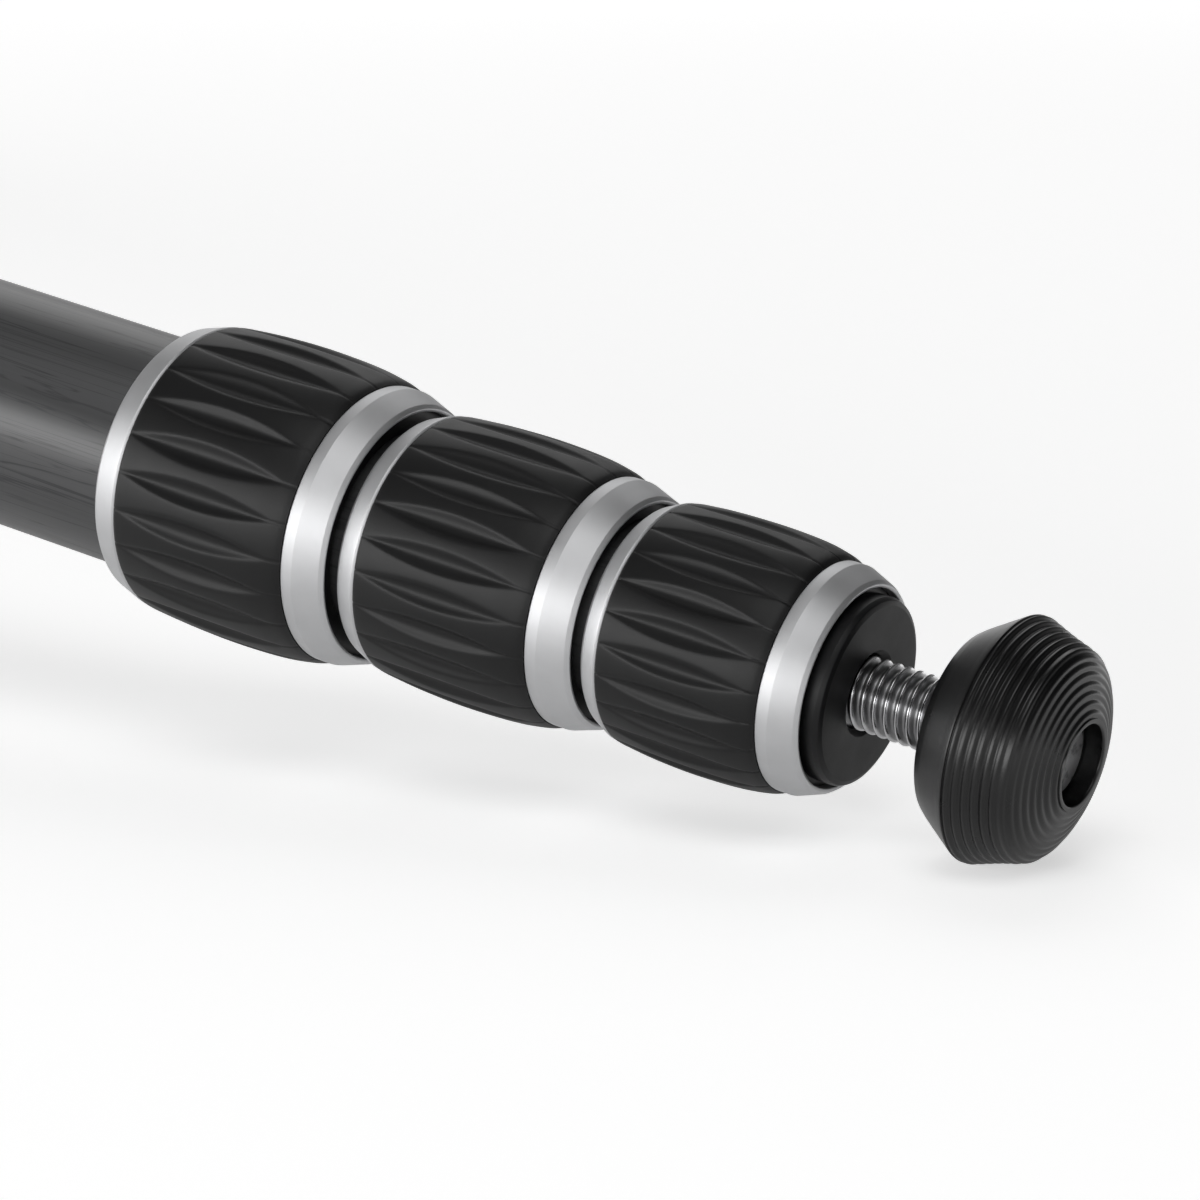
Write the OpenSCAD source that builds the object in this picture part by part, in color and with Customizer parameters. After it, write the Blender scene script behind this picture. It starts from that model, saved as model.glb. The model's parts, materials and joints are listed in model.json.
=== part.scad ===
// Travel tripod with three twist-lock carbon legs, a short centre column and no head.
// It stands in its low stance with every leg section closed.
// The origin is the centre of the head plate's face, +Z points up, and leg 1 runs towards +X.

/* [Leg tubes] */
// Outer diameter of the thickest leg tube
tube_1_d = 32; // [31:0.1:34]
// Outer diameter of the second leg tube
tube_2_d = 27.6; // [27:0.1:28.4]
// Outer diameter of the third leg tube
tube_3_d = 24.4; // [24:0.1:24.8]
// Outer diameter of the thinnest leg tube
tube_4_d = 21; // [20:0.1:21.4]
// Wall of every leg tube
tube_wall = 1.2; // [1:0.05:1.3]
// Distance along a leg from its pivot to its first lock
upper_len = 290; // [220:1:420]

/* [Leg locks] */
// Height of a lock's rear rim above the tube it is screwed on
rim_over = 2.65; // [2.4:0.05:3]
// Height of a lock's shoulder, where the rim meets the grip
shoulder_over = 3.85; // [3.6:0.05:4.2]
// Height of the grip's crown
crown_over = 4.5; // [4.3:0.05:5]
// Height of the front ring
ring_over = 2.85; // [2.6:0.05:3.1]
// Height of the lock's mouth
mouth_over = 0.8; // [0.7:0.05:1]
// Length of the rear rim on the first, second and third lock
rim_len = [4.2, 3.5, 3]; // [2.5:0.1:6]
// Length of the rubber grip on the first, second and third lock
grip_len = [26.6, 25.9, 22.9]; // [21:0.1:34]
// Length of the front ring on the first, second and third lock
ring_len = [5.8, 5.9, 5.4]; // [5:0.1:8]
// Gap between one lock and the next
lock_gap = 1.15; // [0.8:0.05:4]
// Number of flutes round a grip
flute_count = 24; // [16:1:26]
// Depth of a flute at the middle of the first lock's grip
flute_depth = 0.85; // [0.6:0.05:1.3]
// Radius of a flute's section on the first lock's grip
flute_r = 2; // [1.8:0.05:2.6]
// Angle that the first, second and third grip are turned by
grip_turn = [5.7, 0.2, 12.3]; // [0:0.1:15]

/* [Feet] */
// Diameter of the foot's stud
stud_d = 9.525; // [8:0.005:10]
// Length of stud that shows between the leg and the foot
stud_gap = 13.2; // [12:0.1:20]
// Largest diameter of the rubber foot
foot_d = 31.8; // [28:0.1:40]
// Length of the rubber foot
foot_len = 16.8; // [14:0.1:24]
// Height of the end plug's lip in front of the last lock
lip_out = 2.1; // [1.5:0.1:4]

/* [Stance] */
// Angle between a spread leg and straight down
leg_angle = 80; // [60:1:82]

/* [Column and head plate] */
// Outer diameter of the centre column
column_d = 26; // [24:0.5:27]
// Wall of the centre column
column_wall = 1.4; // [1:0.1:2]
// Length of the centre column
column_len = 97; // [90:1:100]
// Diameter of the head plate
plate_d = 49; // [48:0.5:70]
// Thickness of the head plate
plate_t = 5.8; // [5:0.1:9]
// Thickness of the plate's rubber pad
pad_t = 1.2; // [0.8:0.1:2]
// Diameter of the head stud
head_stud_d = 9.525; // [6.35:0.005:9.525]
// Length of the head stud above the pad
head_stud_len = 8; // [6:0.5:12]
// Height of the column's locking collar
collar_h = 20.7; // [18:0.1:28]

/* [Leg pivots] */
// Width of each lug on the apex casting
lug_w = 22; // [20:0.5:30]
// Diameter of the pivot bolts
bolt_d = 8; // [6:0.1:9]
// Thickness of each cheek of a leg's fork
cheek_t = 6; // [5:0.1:8]

/* [Hidden] */
$fn = 96;

// Running clearances between pieces that move on each other
slide_gap = 0.3;
thread_gap = 0.2;
seat_gap = 0.05;
// Chamfer of a stud's end, and how far a cut or a joined form runs past the face that it meets
stud_edge = 0.8;
past = 1;

// Leg tubes
tube_r = [tube_1_d, tube_2_d, tube_3_d, tube_4_d] / 2;
ferrule_t = 1;
ferrule_from = 4.6;
ferrule_to = 18.5;
collet_slot = 1.6;
collet_ring = 1.5;
shim_len = 24;
tube_seat = 27;
tube_drop = 29;
tube_step = 4;
tube_top = [for (k = [0 : 3]) tube_seat + (k > 0 ? tube_drop + (k - 1) * tube_step : 0)];

// Locks
function crown_r(k) = tube_r[k] + crown_over;
function lock_len(k) = rim_len[k] + grip_len[k] + ring_len[k];
function lock_x(k) = k == 0 ? upper_len : lock_x(k - 1) + lock_len(k - 1) + lock_gap;
flange_t = 3.4;
edge = 0.5;
core_over = 2.1;
ring_band = 1.8;
ring_nose = 0.9;
nose_len = 0.6;
nose_round = 0.45;
mouth_round = 0.15;
seam_drop = 0.2;
seam_len = 0.4;
seal_t = 2.4;
seal_back = 3.6;
// Grip: its edges, and shares of its length with the drop below its crown there
grip_step = 0.1;
grip_edge = 0.5;
grip_round = 1.3;
grip_front_drop = 0.55;
grip_front_edge = 0.25;
crown_shape = [[0.22, 0.2], [0.46, 0], [0.7, 0.15]];
flute_at = 0.49;
flute_share = 0.45;
flute_flat = 0.12;
flute_fall = 0.25;
flute_end = 0.8;

// Leg end and foot
leg_end = lock_x(2) + lock_len(2);
lip_r = tube_r[2] + seat_gap;
lip_back = 0.9;
lip_round = 0.9;
plug_depth = 26;
stud_inside = 15;
stud_r = stud_d / 2;
foot_r = foot_d / 2;
foot_x = leg_end + lip_out + stud_gap;
foot_hole_r = stud_r + 0.45;
stud_recess = 2.6;
recess_floor = 2.2;
foot_lead = 0.9;
// Outline of the foot: shares of its largest radius and of its length
foot_shape = [
    [0.749, 0], [0.811, 0.071], [0.928, 0.214], [0.975, 0.274], [1, 0.31], [0.998, 0.345], [0.962, 0.44],
    [0.915, 0.583], [0.877, 0.726], [0.852, 0.786], [0.792, 0.839], [0.711, 0.881], [0.604, 0.923],
    [0.497, 0.958], [0.428, 0.982], [0.377, 1]
];

// Leg pivot and knuckle
socket_wall = 2.5;
socket_edge = 2;
socket_thin = 1.2;
socket_r = tube_r[0] + socket_wall;
fold_gap = 2;
pivot_r = plate_d / 2 + fold_gap + socket_r;
boss_r = 12;
cheek_over = 1;
cheek_r = boss_r + cheek_over;
web_x = cheek_r + 1;
web_t = 10;
socket_x = web_x + web_t;
socket_len = 28;
knuckle_over = 1.9;
knuckle_r = socket_r + knuckle_over;
cheek_in = lug_w / 2 + slide_gap;
cheek_out = cheek_in + cheek_t;
bolt_r = bolt_d / 2;
bolt_head_r = bolt_r + 3;
bolt_head_t = 3;
bolt_hex_r = bolt_r * 0.62;
bolt_hex_floor = 0.8;

// Angle tab and the notches that it drops into
stops = [0, 24, 52, leg_angle, 180];
tongue_t = 2.5;
tongue_w = 12;
tongue_tip = boss_r + 1.3;
tongue_len = 8.7;
neck_t = 4;
pad_x = tongue_tip + 1.7;
pad_len = 8.6;
pad_w = 16;
pad_h = 3.5;
tab_gap = 0.5;
tab_groove_r = 0.6;
tab_groove_from = 2.2;
tab_groove_step = 2.1;
notch_depth = 3;

// Centre column, its collar and the head plate
column_r = column_d / 2;
bore_r = column_r + slide_gap;
neck_r = column_r + 2.5;
neck_h = 10;
collet_gap = 0.2;
collar_edge = 0.8;
collar_top_edge = 1.2;
band_margin = 3;
band_edge = 1;
band_flute_r = 1.6;
band_flute_depth = 0.7;
collar_r = column_r + 5;
collar_grip_r = column_r + 7;
collar_top_t = 4;
hub_r = column_r + 8;
plate_r = plate_d / 2;
plate_edge = 0.6;
plate_under = 2;
plate_under_h = 1.6;
pad_margin = 1.4;
pad_hole_over = 1;
screw_hole_over = 0.6;
plate_z = -pad_t - plate_t;
plate_gap = 4;
collar_z = plate_z - plate_gap - collar_h;
casting_top = collar_z - slide_gap;
casting_h = 36;
pivot_z = casting_top - casting_h / 2;
lug_h = 18;
plate_boss_r = column_r - column_wall - seat_gap;
plate_boss_h = 16;
column_drop = 1;
column_top = plate_z - column_drop;
column_bottom = column_top - column_len;
screw_r = 1.9;
screw_low = 0.4;
screw_hex_depth = 1.6;
screw_ring = plate_r - 7;
head_stud_r = head_stud_d / 2;
head_stud_foot_r = head_stud_r - stud_edge;
head_stud_foot_len = 5.5;
level_r = 6.4;
level_at = hub_r + 6;
level_h = 5;
level_depth = 4;
ear_wall = 2.2;
ear_h = 10;
ear_top = casting_top - 2;
cap_t = 7;
cap_r = column_r + 1.5;
cap_edge = 2;
cap_plug = 10;
eye_r = 5.6;
eye_wire = 1.5;
eye_stem_r = 2.2;
eye_stem_h = 3;
eye_washer_over = 3;
eye_washer_t = 2;

carbon = "#3b3c3f";
aluminium = "#b6b9bd";
cast = "#47494d";
level_green = "#b9d66a";
black_metal = "#222326";
rubber = "#1b1b1d";
steel = "#c9ccd0";

// Places its children in the frame of one leg: +Z runs along the leg, +X points down and +Y along the pivot
module on_leg(n) {
    rotate([0, 0, 120 * (n - 1)])
        translate([pivot_r, 0, pivot_z])
            rotate([0, 180 - leg_angle, 0])
                children();
}

// Ring about the leg's axis between two stations
module sleeve(inner, outer, from, to) {
    translate([0, 0, from])
        rotate_extrude()
            translate([inner, 0])
                square([outer - inner, to - from]);
}

// One leg tube with the shim at its top and the ferrule and collet at its lower end
module leg_tube(k) {
    r = tube_r[k];
    last = k == 3;
    bottom = last ? leg_end - lip_back : lock_x(k) + ferrule_to;
    color(carbon)
        sleeve(r - tube_wall, r, tube_top[k], bottom);
    if (k > 0)
        color(rubber)
            sleeve(r + seat_gap, tube_r[k - 1] - tube_wall - slide_gap / 2,
                   tube_top[k], tube_top[k] + shim_len);
    if (!last) {
        color(black_metal)
            sleeve(r + seat_gap, r + ferrule_t, lock_x(k) + ferrule_from, lock_x(k) + ferrule_to);
        color(rubber)
            collet(k);
    }
}

// Split collet that the lock squeezes on the next tube
module collet(k) {
    from = lock_x(k) + ferrule_to + seat_gap;
    to = lock_x(k) + lock_len(k) - seal_back - slide_gap;
    difference() {
        sleeve(tube_r[k + 1] + slide_gap, tube_r[k] + mouth_over - slide_gap, from, to);
        translate([0, -collet_slot / 2, from + collet_ring])
            cube([tube_r[0] * 2, collet_slot, to - from]);
    }
}

// Aluminium body of a twist lock: rear rim, core below the grip and front ring, turned in one piece
module lock_nut(k) {
    r = tube_r[k];
    grip_from = rim_len[k];
    grip_to = rim_len[k] + grip_len[k];
    front = lock_len(k);
    color(aluminium)
        translate([0, 0, lock_x(k)])
            rotate_extrude()
                polygon([
                    [r + slide_gap, 0],
                    [r + rim_over - edge, 0],
                    [r + rim_over, edge],
                    [r + shoulder_over - seam_drop, grip_from - seam_len],
                    [r + shoulder_over - 2 * seam_drop, grip_from],
                    [r + core_over, grip_from],
                    [r + core_over, grip_to],
                    [r + ring_over, grip_to],
                    [r + ring_over, grip_to + ring_band],
                    [r + mouth_over + ring_nose, front - nose_len],
                    [r + mouth_over + ring_nose - nose_round, front],
                    [r + mouth_over, front - mouth_round],
                    [r + mouth_over, ferrule_to + slide_gap],
                    [r + ferrule_t + thread_gap, ferrule_to + slide_gap],
                    [r + ferrule_t + thread_gap, flange_t],
                    [r + slide_gap, flange_t]
                ]);
}

// Outline of a grip: crowned, and rounded down to the front ring
function grip_outline(k) = let (r = tube_r[k], n = grip_len[k]) [
    [r + core_over + seat_gap / 2, 0],
    [r + shoulder_over - grip_step, 0],
    [r + shoulder_over + grip_step, grip_edge],
    for (p = crown_shape) [r + crown_over - p[1], n * p[0]],
    [r + crown_over - grip_front_drop, n - grip_round],
    [r + ring_over + grip_step + grip_front_edge, n - grip_front_edge],
    [r + ring_over + grip_step, n],
    [r + core_over + seat_gap / 2, n]
];

// Rubber grip of a twist lock, and the dust seal in the lock's mouth
module lock_grip(k) {
    color(rubber)
        translate([0, 0, lock_x(k) + rim_len[k]])
            difference() {
                rotate_extrude()
                    polygon(grip_outline(k));
                for (i = [0 : flute_count - 1])
                    rotate([0, 0, grip_turn[k] + 360 * i / flute_count])
                        flute(crown_r(k), grip_len[k] * flute_at, grip_len[k] * flute_share,
                              crown_r(k) / crown_r(0));
            }
    color(rubber)
        sleeve(tube_r[k + 1] + slide_gap, tube_r[k] + mouth_over - seat_gap / 2,
               lock_x(k) + lock_len(k) - seal_back, lock_x(k) + lock_len(k) - seal_back + seal_t);
}

// Cutter of one flute: a spindle that leaves the grip's surface at both ends
module flute(surface_r, middle, half, size) {
    depth = flute_depth * size;
    r = flute_r * size;
    translate([surface_r - depth + r, 0, middle])
        rotate_extrude($fn = 48)
            polygon([
                [0, -half],
                [(r - depth) * flute_end, -half],
                [r - depth * flute_fall, -half / 2],
                [r, -half * flute_flat],
                [r, half * flute_flat],
                [r - depth * flute_fall, half / 2],
                [(r - depth) * flute_end, half],
                [0, half]
            ]);
}

// Plug in the end of the thinnest tube, with a rounded lip and the thread for the foot's stud
module end_plug() {
    lip_from = leg_end - lip_back;
    lip_to = leg_end + lip_out;
    color(black_metal)
        rotate_extrude()
            polygon([
                [stud_r + thread_gap / 2, leg_end - plug_depth],
                [tube_r[3] - tube_wall - seat_gap, leg_end - plug_depth],
                [tube_r[3] - tube_wall - seat_gap, lip_from],
                [lip_r, lip_from],
                [lip_r, lip_to - lip_round],
                [lip_r - lip_round * 0.3, lip_to - lip_round * 0.3],
                [lip_r - lip_round, lip_to],
                [stud_r + thread_gap / 2 + stud_edge, lip_to],
                [stud_r + thread_gap / 2, lip_to - stud_edge]
            ]);
}

// Threaded stud that carries the foot
module foot_stud() {
    color(steel)
        rotate_extrude()
            polygon([
                [0, leg_end - stud_inside],
                [stud_r - stud_edge, leg_end - stud_inside],
                [stud_r, leg_end - stud_inside + stud_edge],
                [stud_r, foot_x + foot_len - stud_recess - stud_edge],
                [stud_r - stud_edge, foot_x + foot_len - stud_recess],
                [0, foot_x + foot_len - stud_recess]
            ]);
}

// Rubber foot: a smooth back cone, a widest ring and a rounded front with a hole for the stud's end
module foot() {
    color(rubber)
        translate([0, 0, foot_x])
            rotate_extrude()
                polygon([
                    [stud_r + thread_gap / 2, foot_lead],
                    [stud_r + foot_lead, 0],
                    for (p = foot_shape) [foot_r * p[0], foot_len * p[1]],
                    [foot_hole_r, foot_len],
                    [foot_hole_r, foot_len - recess_floor],
                    [stud_r + thread_gap / 2, foot_len - recess_floor]
                ]);
}

// Bar along the pivot's axis
module cross_bar(r, from, to) {
    rotate([-90, 0, 0])
        translate([0, 0, from])
            cylinder(r = r, h = to - from);
}

// Knuckle at the top of a leg: a fork about the pivot, a web and the socket of the thickest tube
module knuckle() {
    color(cast)
        difference() {
            union() {
                intersection() {
                    union() {
                        for (side = [-1, 1])
                            cross_bar(cheek_r, side > 0 ? cheek_in : -cheek_out,
                                      side > 0 ? cheek_out : -cheek_in);
                        for (side = [-1, 1])
                            translate([-cheek_r, side > 0 ? cheek_in : -cheek_out, 0])
                                cube([2 * cheek_r, cheek_t, socket_x + past]);
                        translate([-cheek_r, -cheek_out, web_x])
                            cube([2 * cheek_r, 2 * cheek_out, web_t + past]);
                    }
                    translate([0, 0, -cheek_r - past])
                        cylinder(r = knuckle_r, h = cheek_r + socket_x + 2 * past);
                }
                translate([0, 0, socket_x])
                    cylinder(r = socket_r, h = socket_len - socket_edge);
                translate([0, 0, socket_x + socket_len - socket_edge])
                    cylinder(r1 = socket_r, r2 = socket_r - socket_thin, h = socket_edge);
            }
            cross_bar(bolt_r + slide_gap, -cheek_out - past, cheek_out + past);
            translate([0, 0, tube_seat])
                cylinder(r = tube_r[0] + seat_gap, h = socket_len + socket_x - tube_seat + past);
            translate([-knuckle_r - past, -tongue_w / 2 - slide_gap * 1.5, web_x - past])
                cube([knuckle_r + past + tongue_t / 2 + slide_gap, tongue_w + slide_gap * 3,
                      web_t + past - slide_gap * 2]);
        }
}

// Sliding tab that holds a leg at one of its angles
module angle_tab() {
    color(black_metal) {
        translate([-tongue_t / 2, -tongue_w / 2, tongue_tip])
            cube([tongue_t, tongue_w, tongue_len]);
        translate([-cheek_r - tab_gap, -tongue_w / 2, tongue_tip + tongue_len - neck_t])
            cube([cheek_r + tab_gap, tongue_w, neck_t]);
        difference() {
            translate([-cheek_r - tab_gap - pad_h, -pad_w / 2, pad_x])
                cube([pad_h, pad_w, pad_len]);
            for (i = [0 : 2])
                translate([-cheek_r - tab_gap - pad_h, -pad_w / 2 - past,
                           pad_x + tab_groove_from + tab_groove_step * i])
                    rotate([-90, 0, 0])
                        cylinder(r = tab_groove_r, h = pad_w + 2 * past, $fn = 24);
        }
    }
}

// Apex casting: hub about the column, three lugs with stop notches, the collar's thread and the level's ear
module apex_casting() {
    color(cast)
        difference() {
            union() {
                translate([0, 0, casting_top - casting_h])
                    cylinder(r = hub_r, h = casting_h);
                translate([0, 0, casting_top - past])
                    cylinder(r = neck_r, h = neck_h + past);
                for (n = [1 : 3])
                    rotate([0, 0, 120 * (n - 1)]) {
                        translate([0, -lug_w / 2, pivot_z - lug_h / 2])
                            cube([pivot_r, lug_w, lug_h]);
                        translate([pivot_r, 0, pivot_z])
                            cross_bar(boss_r, -lug_w / 2, lug_w / 2);
                    }
                rotate([0, 0, 60])
                    translate([level_at, 0, ear_top - ear_h])
                        cylinder(r = level_r + ear_wall, h = ear_h);
            }
            translate([0, 0, casting_top - casting_h - past])
                cylinder(r = bore_r, h = casting_h + neck_h + 2 * past);
            for (n = [1 : 3])
                rotate([0, 0, 120 * (n - 1)])
                    translate([pivot_r, 0, pivot_z]) {
                        cross_bar(bolt_r + seat_gap, -lug_w / 2 - past, lug_w / 2 + past);
                        for (a = stops)
                            rotate([0, 90 - a, 0])
                                translate([boss_r - notch_depth, -tongue_w / 2 - tab_gap,
                                           -tongue_t / 2 - slide_gap])
                                    cube([notch_depth + past, tongue_w + 2 * tab_gap,
                                          tongue_t + 2 * slide_gap]);
                    }
            rotate([0, 0, 60])
                translate([level_at, 0, ear_top - level_depth])
                    cylinder(r = level_r + seat_gap, h = level_depth + past);
        }
}

// The three pivot bolts, each with a socket in its head and a round nut at the other end
module pivot_bolts() {
    color(steel)
        for (n = [1 : 3])
            rotate([0, 0, 120 * (n - 1)])
                translate([pivot_r, 0, pivot_z])
                    difference() {
                        union() {
                            cross_bar(bolt_r, -cheek_out - past, cheek_out + past);
                            cross_bar(bolt_head_r, cheek_out + slide_gap,
                                      cheek_out + slide_gap + bolt_head_t);
                            cross_bar(bolt_head_r, -cheek_out - slide_gap - bolt_head_t,
                                      -cheek_out - slide_gap);
                        }
                        rotate([-90, 0, 0])
                            translate([0, 0, cheek_out + slide_gap + bolt_hex_floor])
                                cylinder(r = bolt_hex_r, h = bolt_head_t, $fn = 6);
                    }
}

// Round spirit level in the casting's ear
module bubble_level() {
    color(level_green)
        rotate([0, 0, 60])
            translate([level_at, 0, ear_top - level_depth + seat_gap])
                cylinder(r = level_r, h = level_h);
}

// Centre column tube
module column_tube() {
    color(carbon)
        sleeve(column_r - column_wall, column_r, column_bottom, column_top);
}

// Split collet that the column's collar squeezes on the column
module column_collet() {
    from = casting_top + neck_h + collet_gap;
    color(rubber)
        difference() {
            sleeve(bore_r, neck_r - collet_gap, from, collar_z + collar_h - collar_top_t - 2 * collet_gap);
            translate([0, -collet_slot / 2, from + collet_ring])
                cube([neck_r + past, collet_slot, collar_h]);
        }
}

// Locking collar of the column
module column_nut() {
    top = collar_z + collar_h;
    color(aluminium)
        rotate_extrude()
            polygon([
                [neck_r + thread_gap, collar_z],
                [collar_r - collar_edge, collar_z],
                [collar_r, collar_z + collar_edge],
                [collar_r, top - collar_top_edge],
                [collar_r - collar_top_edge, top],
                [bore_r, top],
                [bore_r, top - collar_top_t],
                [neck_r + thread_gap, top - collar_top_t]
            ]);
}

// Rubber band round the collar
module column_grip() {
    from = collar_z + band_margin;
    to = collar_z + collar_h - band_margin;
    color(rubber)
        difference() {
            translate([0, 0, from])
                rotate_extrude()
                    polygon([
                        [collar_r + seat_gap / 2, 0],
                        [collar_grip_r - band_edge, 0],
                        [collar_grip_r, band_edge],
                        [collar_grip_r, to - from - band_edge],
                        [collar_grip_r - band_edge, to - from],
                        [collar_r + seat_gap / 2, to - from]
                    ]);
            for (i = [0 : flute_count - 1])
                rotate([0, 0, 360 * i / flute_count])
                    translate([collar_grip_r + band_flute_r - band_flute_depth, 0, from - past])
                        cylinder(r = band_flute_r, h = to - from + 2 * past, $fn = 32);
        }
}

// Head plate with the boss that fills the column's top
module head_plate() {
    color(aluminium)
        difference() {
            rotate_extrude()
                polygon([
                    [0, plate_z - plate_boss_h],
                    [plate_boss_r, plate_z - plate_boss_h],
                    [plate_boss_r, column_top + seat_gap],
                    [column_r, column_top + seat_gap],
                    [column_r, plate_z],
                    [plate_r - plate_under, plate_z],
                    [plate_r, plate_z + plate_under_h],
                    [plate_r, -pad_t - plate_edge],
                    [plate_r - plate_edge, -pad_t],
                    [0, -pad_t]
                ]);
            translate([0, 0, plate_z - head_stud_foot_len - stud_edge])
                cylinder(r = head_stud_foot_r + seat_gap,
                         h = plate_t + head_stud_foot_len + stud_edge + past);
            for (i = [0 : 2])
                rotate([0, 0, 60 + 120 * i])
                    translate([screw_ring, 0, plate_z - past])
                        cylinder(r = screw_r + seat_gap, h = plate_t + 2 * past);
        }
}

// Rubber pad on the head plate
module plate_pad() {
    color(rubber)
        difference() {
            translate([0, 0, -pad_t])
                cylinder(r = plate_r - pad_margin, h = pad_t);
            translate([0, 0, -pad_t - past])
                cylinder(r = head_stud_r + pad_hole_over, h = pad_t + 2 * past);
            for (i = [0 : 2])
                rotate([0, 0, 60 + 120 * i])
                    translate([screw_ring, 0, -pad_t - past])
                        cylinder(r = screw_r + screw_hole_over, h = pad_t + 2 * past);
        }
}

// Stud that a head screws on to
module head_stud() {
    shoulder = -pad_t + seat_gap * 2;
    color(steel)
        rotate_extrude()
            polygon([
                [0, plate_z - head_stud_foot_len],
                [head_stud_foot_r, plate_z - head_stud_foot_len],
                [head_stud_foot_r, shoulder],
                [head_stud_r, shoulder],
                [head_stud_r, head_stud_len],
                [head_stud_r - stud_edge, head_stud_len + stud_edge],
                [0, head_stud_len + stud_edge]
            ]);
}

// Grub screws that stop a head from turning on the plate
module plate_screws() {
    color(steel)
        for (i = [0 : 2])
            rotate([0, 0, 60 + 120 * i])
                translate([screw_ring, 0, plate_z + screw_low])
                    difference() {
                        cylinder(r = screw_r, h = plate_t - screw_low - 2 * seat_gap);
                        translate([0, 0, -past])
                            cylinder(r = screw_r * 0.5, h = screw_hex_depth + past, $fn = 6);
                    }
}

// Cap at the column's lower end
module hook_cap() {
    bottom = column_bottom - cap_t;
    color(black_metal)
        rotate_extrude()
            polygon([
                [eye_stem_r + slide_gap, bottom],
                [cap_r - cap_edge, bottom],
                [cap_r, bottom + cap_edge],
                [cap_r, column_bottom - seat_gap],
                [column_r - column_wall - seat_gap, column_bottom - seat_gap],
                [column_r - column_wall - seat_gap, column_bottom + cap_plug],
                [eye_stem_r + slide_gap, column_bottom + cap_plug]
            ]);
}

// Swivelling eye for a bag or a weight
module hook() {
    bottom = column_bottom - cap_t;
    eye_z = bottom - eye_stem_h - eye_r;
    color(steel) {
        translate([0, 0, bottom - eye_stem_h])
            cylinder(r = eye_stem_r, h = eye_stem_h + cap_t + cap_plug + slide_gap + eye_washer_t / 2);
        translate([0, 0, column_bottom + cap_plug + slide_gap])
            cylinder(r = eye_stem_r + eye_washer_over, h = eye_washer_t);
        translate([0, 0, eye_z])
            rotate([90, 0, 0])
                rotate_extrude()
                    translate([eye_r, 0])
                        circle(eye_wire, $fn = 48);
    }
}

LEG_PIECES = [
    "knuckle", "angle_tab", "tube_1", "tube_2", "tube_3", "tube_4", "nut_1", "nut_2", "nut_3",
    "grip_1", "grip_2", "grip_3", "end_plug", "foot_stud", "foot"
];

apex_casting();
pivot_bolts();
bubble_level();
column_tube();
column_collet();
column_nut();
column_grip();
head_plate();
plate_pad();
head_stud();
plate_screws();
hook_cap();
hook();
for (n = [1 : 3]) {
    on_leg(n) knuckle();
    on_leg(n) angle_tab();
    for (k = [1 : 4])
        on_leg(n) leg_tube(k - 1);
    for (k = [1 : 3])
        on_leg(n) lock_nut(k - 1);
    for (k = [1 : 3])
        on_leg(n) lock_grip(k - 1);
    on_leg(n) end_plug();
    on_leg(n) foot_stud();
    on_leg(n) foot();
}
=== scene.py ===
"""Looks of the travel tripod: its turned, fluted, threaded and cast pieces, finishes, camera and light."""
import json
import math

import bmesh
import bpy
from mathutils import Matrix, Vector


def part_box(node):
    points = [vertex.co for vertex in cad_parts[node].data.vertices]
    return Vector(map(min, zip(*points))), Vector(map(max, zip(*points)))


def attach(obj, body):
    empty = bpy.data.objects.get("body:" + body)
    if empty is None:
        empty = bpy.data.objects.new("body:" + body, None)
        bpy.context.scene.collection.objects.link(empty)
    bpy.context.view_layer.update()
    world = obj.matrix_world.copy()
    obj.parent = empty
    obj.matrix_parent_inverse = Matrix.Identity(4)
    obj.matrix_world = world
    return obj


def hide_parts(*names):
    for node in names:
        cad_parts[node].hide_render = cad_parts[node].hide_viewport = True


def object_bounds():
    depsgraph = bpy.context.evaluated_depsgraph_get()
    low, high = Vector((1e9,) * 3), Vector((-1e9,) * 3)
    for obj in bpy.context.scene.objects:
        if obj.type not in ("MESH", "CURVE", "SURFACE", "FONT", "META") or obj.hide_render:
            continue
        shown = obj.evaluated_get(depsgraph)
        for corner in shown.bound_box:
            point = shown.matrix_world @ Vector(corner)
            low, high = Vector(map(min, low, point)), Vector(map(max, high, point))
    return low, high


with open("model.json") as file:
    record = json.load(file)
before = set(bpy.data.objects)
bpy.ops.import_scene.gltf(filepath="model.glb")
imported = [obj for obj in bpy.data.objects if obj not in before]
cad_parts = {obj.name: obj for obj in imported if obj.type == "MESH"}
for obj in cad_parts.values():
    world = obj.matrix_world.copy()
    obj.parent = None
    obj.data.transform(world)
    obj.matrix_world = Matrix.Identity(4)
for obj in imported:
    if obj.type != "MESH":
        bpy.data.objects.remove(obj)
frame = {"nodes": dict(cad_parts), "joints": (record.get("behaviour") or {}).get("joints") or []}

bl_info = {
    "name": "Travel tripod",
    "version": (1, 0, 0),
    "blender": (4, 5, 0),
    "location": "View3D > Sidebar > Tripod",
    "description": "Dresses the packed tripod with turned, moulded and cast pieces and their finishes",
    "category": "Object",
}

MM = 0.001
LEGS = (1, 2, 3)
LOCKS = (1, 2, 3)
SECTIONS = (1, 2, 3, 4)
# How near two points of a CAD node lie to count as one
SAME = 0.03 * MM
# How near a point lies to a level read from a CAD node to be on it
ON_LEVEL = 0.02 * MM
# A radius under this lies on the axis
ON_AXIS = 1e-6
# Steps in rounded edges that hardly show
HIDDEN_STEPS = 2

# Studs: the chamfers of the low and the high end, and the plain end as a share of the pitch
FOOT_STUD_CHAMFERS = (0.8 * MM, 0.2 * MM)
FOOT_STUD_PLAIN = 1.3
HEAD_STUD_CHAMFERS = (0.8 * MM, 0.8 * MM)
HEAD_STUD_PLAIN = 0.1

# Feet
FOOT_ROUND = 2.0 * MM
FOOT_ROUND_STEPS = 6
FOOT_FINE_STEP = 0.09 * MM
FOOT_HOLE_DEEPER = 0.7 * MM
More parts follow.
